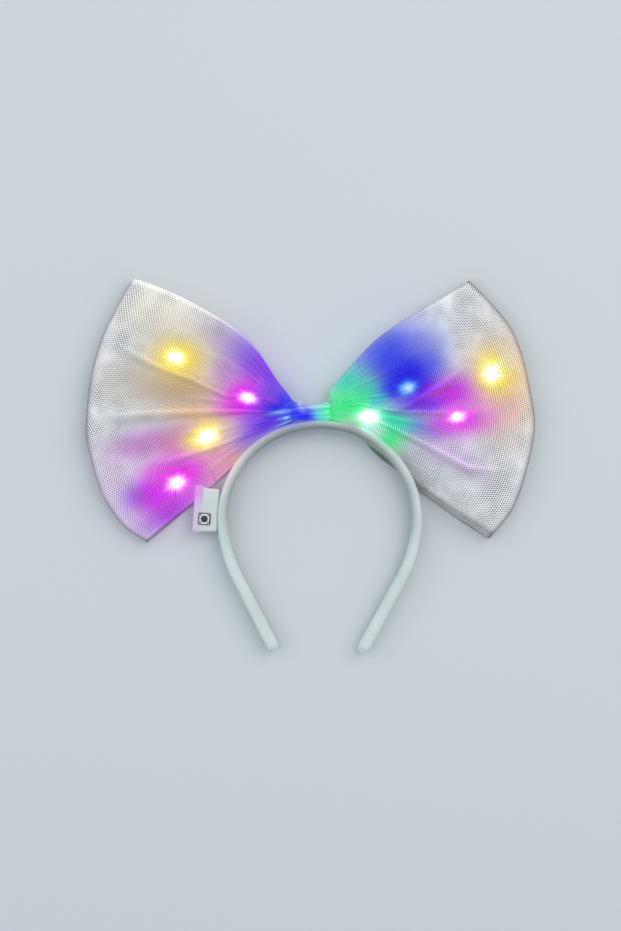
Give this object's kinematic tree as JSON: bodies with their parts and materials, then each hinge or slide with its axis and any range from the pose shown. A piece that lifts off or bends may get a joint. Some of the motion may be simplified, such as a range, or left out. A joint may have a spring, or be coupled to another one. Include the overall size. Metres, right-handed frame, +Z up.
{
  "type": "light-up bow headband",
  "caption": "Padded headband with a large gathered white tulle bow on its crown, coloured light beads on a wire inside the bow, and a battery pouch with a press switch.",
  "frame": {"origin": "middle of the footprint, on the table that the headband lies on", "axes": "+X to the wearer's left, +Y towards the bow, +Z up from the table, out of the front of the bow"},
  "size_m": [0.261, 0.2167, 0.0272],
  "materials": {
    "band_cover": "pale ribbed satin ribbon over padding",
    "tulle": "white hexagonal net",
    "knot_tulle": "white net wrapped close",
    "wire": "thin enamelled wire",
    "pouch_cover": "smooth white sleeve",
    "switch_black": "moulded black",
    "button_black": "moulded black",
    "switch_metal": "stamped plate",
    "led_magenta": "clear glowing bead",
    "led_yellow": "clear glowing bead",
    "led_blue": "clear glowing bead",
    "led_green": "clear glowing bead"
  },
  "bodies": {
    "headpiece": {"headband": "band_cover", "bow_wing_left_front": "tulle", "bow_wing_left_back": "tulle", "bow_wing_right_front": "tulle", "bow_wing_right_back": "tulle", "bow_knot": "knot_tulle", "led_wire": "wire", "return_lead": "wire", "battery_pouch": "pouch_cover", "switch_base": "switch_black", "switch_plate": "switch_metal", "led_1": "led_magenta", "led_2": "led_yellow", "led_3": "led_yellow", "led_4": "led_magenta", "led_5": "led_blue", "led_6": "led_green", "led_7": "led_blue", "led_8": "led_yellow", "led_9": "led_magenta"},
    "button": {"switch_button": "button_black"}
  },
  "joints": [
    {"name": "button_press", "type": "slide", "parent": "headpiece", "child": "button", "axis": [0, 0, -1], "range_m": [0, 0.00025], "stiffness_N_per_m": 400}
  ]
}
